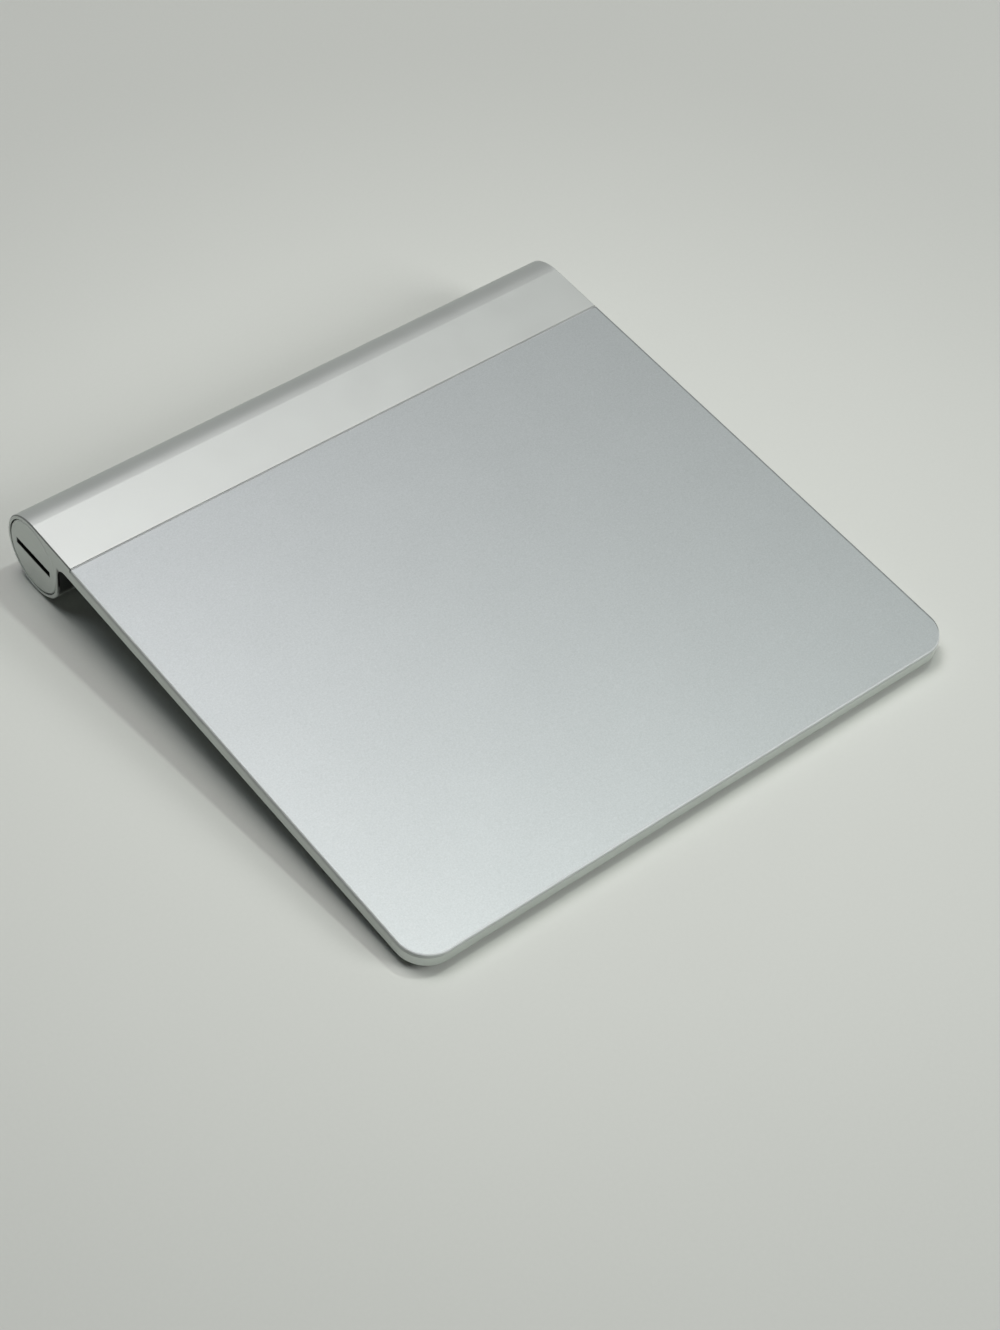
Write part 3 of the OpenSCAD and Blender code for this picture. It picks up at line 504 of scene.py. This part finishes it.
def turns_by(edge, angle):
    return edge.is_manifold and edge.calc_face_angle() > angle


def flows(edge):
    """True where the shading runs on over an edge: between faces of like size at a low angle."""
    if not edge.is_manifold or turns_by(edge, CREASE):
        return False
    small, large = sorted(face.calc_area() for face in edge.link_faces)
    return large < FLAT_BESIDE_SMALL * small


def standing_copy(node):
    """A CAD node's mesh, merged, as it stands on the desk."""
    shape = bmesh.new()
    shape.from_mesh(frame["nodes"][node].data)
    bmesh.ops.remove_doubles(shape, verts=shape.verts, dist=SAME_PLACE)
    return shape


def lay_back(shape):
    bmesh.ops.transform(shape, matrix=STAND.inverted(), verts=shape.verts)


def cad_copy(node):
    """A CAD node's mesh, merged and laid back into the pad's own frame."""
    shape = standing_copy(node)
    lay_back(shape)
    return shape


def cut_across(shape, x, **options):
    """Cuts all of a shape by a plane at a place along X."""
    cut = shape.verts[:] + shape.edges[:] + shape.faces[:]
    bmesh.ops.bisect_plane(shape, geom=cut, dist=SAME_PLACE, plane_co=(x, 0, 0), **options)


def close_ends(shape, sides):
    """Fills the holes of up to the given number of sides, or of any number for 0."""
    rim = [edge for edge in shape.edges if edge.is_boundary]
    bmesh.ops.holes_fill(shape, edges=rim, sides=sides)


def off_axis(place):
    """How far out from the tube's axis a place is, and which way."""
    return (place - TUBE_AXIS) * Vector((0, 1, 1))


def add_piece(name, shape, body, slot, nodes, finishes):
    """Makes a shape a piece that rides on a body and stands for the CAD nodes."""
    bmesh.ops.transform(shape, matrix=STAND, verts=shape.verts)
    bmesh.ops.recalc_face_normals(shape, faces=shape.faces)
    for face in shape.faces:
        face.smooth = True
    for edge in shape.edges:
        edge.smooth = flows(edge)
    mesh = bpy.data.meshes.new(name)
    shape.to_mesh(mesh)
    shape.free()
    for finish in finishes:
        mesh.materials.append(finish)
    piece = bpy.data.objects.new(name, mesh)
    bpy.context.scene.collection.objects.link(piece)
    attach(piece, body)
    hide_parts(*nodes)
    return piece


def round_edges(shape, edges, reach, segments, material=-1):
    bmesh.ops.bevel(
        shape, geom=edges, offset=reach, offset_type="OFFSET", segments=segments, profile=0.5,
        affect="EDGES", clamp_overlap=True, material=material,
    )


CORNER_SEGMENTS = 32


def glass_pane():
    """The touch face: a flat pane with two round corners, a chamfer with painted highlight and
    painted shade, and a ground side.
    """
    shape = bmesh.new()
    bmesh.ops.create_grid(shape, x_segments=1, y_segments=1, size=1)
    bmesh.ops.scale(shape, vec=(HALF_WIDTH, GLASS_DEPTH / 2, 1), verts=shape.verts)
    bmesh.ops.translate(shape, vec=(0, GLASS_DEPTH / 2, 0), verts=shape.verts)
    front = [vert for vert in shape.verts if vert.co.y < GLASS_DEPTH / 2]
    bmesh.ops.bevel(
        shape, geom=front, offset=CORNER, offset_type="OFFSET", segments=CORNER_SEGMENTS,
        profile=0.5, affect="VERTICES", material=-1,
    )
    thick = bmesh.ops.extrude_face_region(shape, geom=shape.faces[:])["geom"]
    low = [item for item in thick if isinstance(item, bmesh.types.BMVert)]
    bmesh.ops.translate(shape, vec=(0, 0, -GLASS_THICKNESS), verts=low)
    bmesh.ops.recalc_face_normals(shape, faces=shape.faces)
    for face in shape.faces:
        face.material_index = 0 if abs(face.normal.z) > 0.5 else 2
    top = [edge for edge in shape.edges if all(abs(vert.co.z) < CLOSE for vert in edge.verts)]
    round_edges(shape, top, GLASS_CHAMFER, 3, 1)
    add_piece(
        "glass_pane", shape, "pad_body", "touch_glass", ["touch_glass"],
        [FINISHES["touch_glass"], FINISHES["glass_edge"], FINISHES["glass_side"]],
    )


GASKET_TOP = -0.12 * MM
GASKET_PLAY = 0.02 * MM


def seam_gasket():
    """The soft bead that fills the seam between the glass and the strip, just under their faces."""
    shape = bmesh.new()
    low = Vector((-HALF_WIDTH + EDGE_BREAK, GLASS_DEPTH + GASKET_PLAY, -GLASS_THICKNESS))
    high = Vector((HALF_WIDTH - EDGE_BREAK, STRIP_FRONT - GASKET_PLAY, GASKET_TOP))
    add_block(shape, low, high, 0, 0.06 * MM)
    add_piece("seam_gasket", shape, "pad_body", "foot_rubber", [], [FINISHES["seam_gasket"]])


THREAD_PITCH = 1.25 * MM
THREAD_ROOT = 7.0 * MM
THREAD_CREST = 7.4 * MM
THREAD_START = 59.75 * MM
THREAD_TURNS = 2.6
THREAD_SUNK = 0.1 * MM
BORE_THREAD_CREST = 7.05 * MM
BORE_THREAD_TURNS = 3.2
THREAD_STEPS = 72
HALF_THREAD_ROOT = 0.44 * MM
HALF_THREAD_CREST = 0.1 * MM


def add_thread(shape, start, root, crest, turns):
    """A right-hand thread: one ridge that winds round the tube's axis, from its start leftwards."""
    outline = (
        (HALF_THREAD_ROOT, root), (HALF_THREAD_CREST, crest),
        (-HALF_THREAD_CREST, crest), (-HALF_THREAD_ROOT, root),
    )
    points = [shape.verts.new(TUBE_AXIS + Vector((x - start, 0, r))) for x, r in outline]
    ridge = shape.faces.new(points)
    bmesh.ops.spin(
        shape, geom=[ridge, *ridge.edges, *points], cent=TUBE_AXIS, axis=(-1, 0, 0),
        dvec=(-THREAD_PITCH / THREAD_STEPS, 0, 0), angle=tau * turns,
        steps=round(turns * THREAD_STEPS), use_duplicate=False,
    )
    close_ends(shape, len(outline))


COLLAR = 0.5 * MM
COLLAR_SLOPE = 0.1 * MM


def slotted_door():
    """The battery door, with its boss cut down behind a collar and a thread wound round it."""
    shape = cad_copy("battery_door")
    collar = -HALF_WIDTH + CAP_THICKNESS + COLLAR
    for x in (collar, collar + COLLAR_SLOPE):
        cut_across(shape, x, plane_no=(1, 0, 0))
    for vert in shape.verts:
        arm = off_axis(vert.co)
        if vert.co.x > collar + CLOSE and arm.length > THREAD_ROOT:
            vert.co -= arm * (1 - THREAD_ROOT / arm.length)
    add_thread(shape, THREAD_START, THREAD_ROOT - THREAD_SUNK, THREAD_CREST, THREAD_TURNS)
    add_piece(
        "slotted_door", shape, "battery_door", "anodised_aluminium", ["battery_door"],
        [FINISHES["door_aluminium"]],
    )


def bore_thread():
    """The thread inside the tube's left end, half a pitch from the door's, so the two mesh."""
    shape = bmesh.new()
    start = THREAD_START - THREAD_PITCH / 2
    add_thread(shape, start, BORE_RADIUS + THREAD_SUNK, BORE_THREAD_CREST, BORE_THREAD_TURNS)
    add_piece(
        "bore_thread", shape, "pad_body", "anodised_aluminium", [],
        [FINISHES["turned_aluminium"]],
    )


TURNED_STEPS = 96


def turned(profile, ring=False):
    """A shape turned on the tube's axis, from points in millimetres of (place along X, radius)."""
    shape = bmesh.new()
    points = [shape.verts.new(TUBE_AXIS + Vector((x * MM, 0, r * MM))) for x, r in profile]
    pairs = list(zip(points, points[1:]))
    if ring:
        pairs.append((points[-1], points[0]))
    edges = [shape.edges.new(pair) for pair in pairs]
    bmesh.ops.spin(
        shape, geom=points + edges, cent=TUBE_AXIS, axis=(1, 0, 0), angle=tau, steps=TURNED_STEPS,
        use_merge=True, use_duplicate=False,
    )
    bmesh.ops.remove_doubles(shape, verts=shape.verts, dist=SAME_PLACE)
    return shape


SLEEVE_FROM = 6.25 * MM
WASHER_FROM = 4.1 * MM


def dressed_cell(node, start):
    """A cell in its sleeve: crimped steel ends, a paper washer and a rounded button."""
    end = CELL_LENGTH / MM - 1
    profile = (
        (0.0, 0.0), (0.0, 4.2), (0.16, 4.4), (0.16, 4.9), (0.0, 5.1), (0.0, 6.3), (0.04, 6.55),
        (0.18, 6.95), (0.4, 7.18), (0.75, 7.25), (end - 0.75, 7.25), (end - 0.4, 7.18),
        (end - 0.18, 6.95), (end - 0.04, 6.6), (end - 0.1, 6.2), (end - 0.3, 6.1), (end - 0.3, 4.3),
        (end - 0.1, 4.0), (end, 3.8), (end, 2.95), (end + 0.12, 2.75), (end + 0.75, 2.7),
        (end + 0.92, 2.6), (end + 1.0, 2.4), (end + 1.0, 0.0),
    )
    shape = turned([(start / MM + x, r) for x, r in profile])
    for face in shape.faces:
        place = face.calc_center_median()
        radius = off_axis(place).length
        if radius > SLEEVE_FROM:
            face.material_index = 0
        elif radius > WASHER_FROM and place.x > start + CELL_LENGTH / 2:
            face.material_index = 2
        else:
            face.material_index = 1
    add_piece(
        node + "_sleeved", shape, "pad_body", "cell_wrap", [node],
        [FINISHES["cell_wrap"], FINISHES["cell_end"], FINISHES["cell_washer"]],
    )


BUTTON_PROFILE = (
    (61.2, 0.0), (61.2, 1.25), (61.35, 1.4), (63.0, 1.4), (63.0, 5.65), (63.15, 5.8), (63.65, 5.8),
    (63.8, 5.65), (63.8, 4.75), (65.28, 4.75), (65.37, 4.72), (65.43, 4.66), (65.45, 4.57),
    (65.45, 4.45), (65.42, 4.25), (65.37, 3.7), (65.33, 2.7), (65.31, 1.5), (65.3, 0.0),
)
RING_PROFILE = (
    (63.85, 4.85), (63.85, 7.95), (65.2, 7.95), (65.42, 7.76), (65.45, 7.65), (65.45, 5.05),
    (65.43, 4.95), (65.37, 4.88), (65.28, 4.85),
)
PLATE_PROFILE = (
    (-62.8, 0.0), (-62.8, 0.6), (-62.65, 0.8), (-62.2, 0.8), (-62.2, 5.4), (-62.1, 5.55),
    (-62.0, 5.55), (-61.9, 5.45), (-61.9, 1.7), (-61.98, 1.4), (-62.0, 0.95), (-61.94, 0.6),
    (-61.9, 0.0),
)
TURNED_PIECES = {  # name: body, slot, CAD node, finish, profile, whether it is a ring
    "button_disc": (
        "power_button", "anodised_aluminium", "power_button", "turned_aluminium",
        BUTTON_PROFILE, False,
    ),
    "end_ring": (
        "pad_body", "anodised_aluminium", "end_cap", "anodised_aluminium", RING_PROFILE, True,
    ),
    "spring_plate": (
        "door_contact", "contact_brass", "door_contact_plate", "contact_brass",
        PLATE_PROFILE, False,
    ),
}


def turned_pieces():
    for name, (body, slot, node, finish, profile, ring) in TURNED_PIECES.items():
        add_piece(name, turned(profile, ring), body, slot, [node], [FINISHES[finish]])


SOFTENED = {  # CAD node: body, slot, how far its sharp edges are rolled over
    "contact_carrier": ("pad_body", "carrier_plastic", 0.15 * MM),
    "switch_holder": ("pad_body", "carrier_plastic", 0.12 * MM),
    "positive_contact": ("pad_body", "contact_brass", 0.1 * MM),
    "board_shield": ("pad_body", "steel", 0.06 * MM),
    "ribbon_connectors": ("pad_body", "connector_plastic", 0.05 * MM),
    "power_switch": ("pad_body", "switch_plastic", 0.12 * MM),
    "switch_plunger": ("power_button", "switch_plastic", 0.12 * MM),
    "click_switch_base": ("pad_body", "switch_plastic", 0.05 * MM),
    "click_arm_left": ("click_lever_left", "steel", 0.06 * MM),
    "click_arm_right": ("click_lever_right", "steel", 0.06 * MM),
    "hinge_bracket_left": ("pad_body", "steel", 0.05 * MM),
    "hinge_bracket_right": ("pad_body", "steel", 0.05 * MM),
    "hinge_pin_left": ("pad_body", "steel", 0.08 * MM),
    "hinge_pin_right": ("pad_body", "steel", 0.08 * MM),
    "logic_board": ("pad_body", "circuit_board", 0.04 * MM),
    "power_board": ("pad_body", "circuit_board", 0.06 * MM),
    "click_board": ("pad_body", "circuit_board", 0.04 * MM),
}
SHARP = radians(50)
LEVEL_FACES = radians(0.5)


def softened_nodes():
    """Moulded and stamped parts, whose sharp edges are rolled over."""
    for node, (body, slot, reach) in SOFTENED.items():
        shape = cad_copy(node)
        bmesh.ops.dissolve_limit(
            shape, angle_limit=LEVEL_FACES, verts=shape.verts, edges=shape.edges,
            use_dissolve_boundaries=False,
        )
        round_edges(shape, [edge for edge in shape.edges if turns_by(edge, SHARP)], reach, 2)
        add_piece(node + "_finished", shape, body, slot, [node], [FINISHES[slot]])


def wound_spring():
    """The door's spring: the CAD's wire, rounded by one subdivision."""
    shape = cad_copy("door_contact_spring")
    spring = add_piece(
        "wound_spring", shape, "door_contact", "contact_brass", ["door_contact_spring"],
        [FINISHES["contact_brass"]],
    )
    rounding = spring.modifiers.new("rounding", "SUBSURF")
    rounding.levels = 1
    rounding.render_levels = 1


def solids(shape):
    """The separate solids of a shape, each as its list of vertices."""
    seen = set()
    for first in shape.verts:
        if first not in seen:
            seen.add(first)
            reached = [first]
            for vert in reached:
                for edge in vert.link_edges:
                    other = edge.other_vert(vert)
                    if other not in seen:
                        seen.add(other)
                        reached.append(other)
            yield reached


def span(verts):
    """The lowest and highest corners of some vertices."""
    return [Vector([pick(vert.co[i] for vert in verts) for i in range(3)]) for pick in (min, max)]


def add_block(shape, low, high, material, softened=0.0):
    """A block whose upper edges are rolled over where it is softened."""
    place = Matrix.Translation((low + high) / 2) @ Matrix.Diagonal((*(high - low), 1))
    block = bmesh.ops.create_cube(shape, size=1, matrix=place)["verts"]
    faces = {face for vert in block for face in vert.link_faces}
    for face in faces:
        face.material_index = material
    if softened:
        edges = dict.fromkeys(edge for vert in block for edge in vert.link_edges)
        upper = [edge for edge in edges if all(v.co.z > low.z + CLOSE for v in edge.verts)]
        round_edges(shape, upper, softened, 2)


LEG_PITCH = 0.65 * MM
LEG_WIDTH = 0.3 * MM
LEG_REACH = 0.45 * MM
LEG_THICKNESS = 0.08 * MM
LEG_KNEE = 0.4  # share of a leg's reach where it rises to the body
LEG_RISE = 0.55  # share of the chip's height that it rises
LEGGED_SIZE = 4.5 * MM


def chip_packages():
    """The chips on the logic board: moulded bodies, with legs on the larger ones."""
    source = cad_copy("board_chips")
    shape = bmesh.new()
    for verts in solids(source):
        low, high = span(verts)
        size = high - low
        legged = size.y > LEGGED_SIZE
        inset = Vector((0, LEG_REACH if legged else 0, 0))
        add_block(shape, low + inset, high - inset, 0, 0.08 * MM)
        if legged:
            count = int((size.x - LEG_PITCH) / LEG_PITCH)
            first = (low.x + high.x) / 2 - (count - 1) / 2 * LEG_PITCH
            for number in range(count):
                left = first + number * LEG_PITCH - LEG_WIDTH / 2
                for near, far in ((low.y, low.y + LEG_REACH), (high.y - LEG_REACH, high.y)):
                    foot = Vector((left, near, low.z))
                    tip = Vector((left + LEG_WIDTH, far, low.z + LEG_THICKNESS))
                    add_block(shape, foot, tip, 1)
                for near in (low.y + LEG_REACH * (1 - LEG_KNEE), high.y - LEG_REACH):
                    knee = Vector((left, near, low.z))
                    reach = Vector((LEG_WIDTH, LEG_REACH * LEG_KNEE, size.z * LEG_RISE))
                    add_block(shape, knee, knee + reach, 1)
    source.free()
    add_piece(
        "chip_packages", shape, "pad_body", "chip_epoxy", ["board_chips"],
        [FINISHES["chip_epoxy"], FINISHES["tinned_end"]],
    )


PASSIVE_SIZE = Vector((1.0, 0.5, 0.35)) * MM
PASSIVE_ENDS = 0.22 * MM
PASSIVE_PITCH = 2.4
PASSIVE_DRIFT = 0.3
RIBBON_CLEARED = 2.4 * MM


def board_passives():
    """Rows of small ceramic parts with tinned ends, along the logic board's front and back."""
    source = cad_copy("logic_board")
    low, high = span(source.verts)
    source.free()
    shape = bmesh.new()
    rows = ((low.y + 1.9 * MM, -20, 22), (high.y - 1.3 * MM, 5, 17))
    for row, first, count in rows:  # place along Y, start along X in millimetres, how many
        for number in range(count):
            x = first + PASSIVE_PITCH * number + PASSIVE_DRIFT * sin(number * 5)
            middle = Vector((x * MM, row, high.z))
            if abs(middle.x) > RIBBON_CLEARED:
                corner = middle - PASSIVE_SIZE * 0.5 * Vector((1, 1, 0))
                add_block(shape, corner, corner + PASSIVE_SIZE, 0, 0.05 * MM)
                for x in (corner.x, corner.x + PASSIVE_SIZE.x - PASSIVE_ENDS):
                    wrap = Vector((0, 1, 0)) * CLOSE
                    end = Vector((x, corner.y, corner.z)) - wrap
                    reach = Vector((PASSIVE_ENDS, PASSIVE_SIZE.y, PASSIVE_SIZE.z)) + wrap * 2
                    add_block(shape, end, end + reach + Vector((0, 0, CLOSE)), 1, 0.04 * MM)
    add_piece(
        "board_passives", shape, "pad_body", "connector_plastic", [],
        [FINISHES["ceramic"], FINISHES["tinned_end"]],
    )


FOOT_ROUNDING = 0.12 * MM


def rubber_foot(node, body):
    """A foot whose lower rim is rolled over, as moulded rubber is."""
    shape = standing_copy(node)
    rim = [
        edge for edge in shape.edges
        if all(vert.co.z < CLOSE for vert in edge.verts) and turns_by(edge, CREASE)
    ]
    round_edges(shape, rim, FOOT_ROUNDING, 3)
    lay_back(shape)
    add_piece(node + "_moulded", shape, body, "foot_rubber", [node], [FINISHES["foot_rubber"]])


def snap_dome():
    """The dome in two halves, each with a mesh of its own."""
    for side, name in ((-1, "left"), (1, "right")):
        shape = cad_copy("click_dome")
        cut_across(shape, 0, plane_no=(side, 0, 0), clear_inner=True)
        close_ends(shape, 0)
        half = add_piece(
            "snap_dome_" + name, shape, "pad_body", "steel", ["click_dome"], [FINISHES["steel"]]
        )
        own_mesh(half)


def make_pieces():
    glass_pane()
    seam_gasket()
    slotted_door()
    bore_thread()
    for node, start in zip(("battery_cell_1", "battery_cell_2"), CELL_STARTS):
        dressed_cell(node, start)
    turned_pieces()
    softened_nodes()
    wound_spring()
    chip_packages()
    board_passives()
    snap_dome()
    for side in ("left", "right"):
        rubber_foot("front_foot_" + side, "click_lever_" + side)
        rubber_foot("rear_foot_" + side, "pad_body")


# Floor and light

FLOOR_COLOR = (0.618, 0.638, 0.602)
FLOOR_REACH = 12
# A painted pool of light near the middle of the desk, and painted shade round it
NEAR_PAINTED_LIGHT = 0.08
AROUND_PAINTED_SHADE = 0.17
FAR_DULLED = 0.85
FAR_OFF = 0.95
FAR_BLEND = 0.45
WALL_LEVEL = 0.5


def pale_share(nodes):
    """1 for what the camera, metal and glass see of the studio round the object, else 0."""
    seen = nodes.node("ShaderNodeLightPath", {}, {}, "Is Camera Ray")
    for ray in ("Is Glossy Ray", "Is Transmission Ray"):
        also = nodes.node("ShaderNodeLightPath", {}, {}, ray)
        seen = seen.math("MAXIMUM", seen, also)
    return seen


def make_floor():
    """A pale desk that passes into the level of the studio's walls far off, with a painted pool of
    light round the object and painted shade beyond it.
    """
    mesh = bpy.data.meshes.new("desk")
    plane = bmesh.new()
    bmesh.ops.create_grid(plane, x_segments=1, y_segments=1, size=FLOOR_REACH)
    plane.to_mesh(mesh)
    plane.free()
    floor = bpy.data.objects.new("desk", mesh)
    bpy.context.scene.collection.objects.link(floor)
    finish = Finish("desk_laminate", FLOOR_COLOR, 0.8, Specular_IOR_Level=0.2)
    place = finish.place()
    cloud = finish.noise(place, 60 * MM, 3)
    speck = finish.noise(place, 0.8 * MM, 2)
    arm = finish.length(place)
    # Painted pool of light within about 70 mm of the middle, going over to painted shade beyond about
    # 200 mm
    light_pool_and_shade = arm.above(135 * MM, 65 * MM) * AROUND_PAINTED_SHADE - NEAR_PAINTED_LIGHT
    grain = cloud.swing(0.02) + speck.swing(0.03)
    beyond = arm.above(FAR_OFF, FAR_BLEND)
    finish.feed("Base Color", finish.shade(grain - light_pool_and_shade - beyond * FAR_DULLED))
    finish.feed("Emission Color", finish.grey(pale_share(finish) * beyond * WALL_LEVEL))
    finish.surface.inputs["Emission Strength"].default_value = 1
    mesh.materials.append(finish.material)


LAMP_DISTANCE = 1.3
LAMPS = {  # degrees round from +X and up, watts, the lamp's size in metres, its tint
    "rear_key": (120, 70, 2.63, 0.6, (0.83, 0.92, 1.0)),
    "rear_right": (80, 70, 2.41, 0.6, (1.0, 0.85, 0.99)),
    "overhead": (100, 78, 3.82, 0.5, (1.0, 0.98, 0.86)),
    "front_fill": (300, 30, 7.62, 0.5, (1.0, 1.0, 1.0)),
    "front_high": (300, 60, 0.80, 0.3, (0.95, 1.0, 0.90)),
    "right_key": (0, 70, 2.82, 0.08, (0.96, 1.0, 0.97)),
}
HORIZON_LEVEL = 0.01
ZENITH_LEVEL = 0.05
WALL_LOST_UPWARDS = 0.75


def make_lamps():
    for name, (azimuth, height, power, size, tint) in LAMPS.items():
        turn, lift = radians(azimuth), radians(height)
        away = Vector((cos(lift) * cos(turn), cos(lift) * sin(turn), sin(lift)))
        data = bpy.data.lights.new(name, "AREA")
        data.size = size
        data.color = tint
        data.energy = power
        lamp = bpy.data.objects.new(name, data)
        lamp.location = away * LAMP_DISTANCE
        lamp.rotation_euler = away.to_track_quat("Z", "Y").to_euler()
        bpy.context.scene.collection.objects.link(lamp)


def make_world():
    """A dim studio, whose pale walls show to the camera and in metal and glass."""
    world = bpy.data.worlds.new("studio")
    world.use_nodes = True
    walls = Nodes(world.node_tree)
    height = walls.axis(walls.node("ShaderNodeTexCoord", {}, {}, "Generated"), "Z")
    level = height.above(0.6, 0.35) * (ZENITH_LEVEL - HORIZON_LEVEL) + HORIZON_LEVEL
    wall = (1 - height.above(0.45, 0.4) * WALL_LOST_UPWARDS) * WALL_LEVEL
    strength = level + pale_share(walls) * wall
    background = world.node_tree.nodes["Background"]
    background.inputs["Color"].default_value = (1, 1, 1, 1)
    world.node_tree.links.new(strength.socket, background.inputs["Strength"])
    bpy.context.scene.world = world


make_camera()
make_floor()
make_lamps()
make_world()
paint_nodes()
make_pieces()
bpy.context.scene.view_settings.view_transform = "Standard"
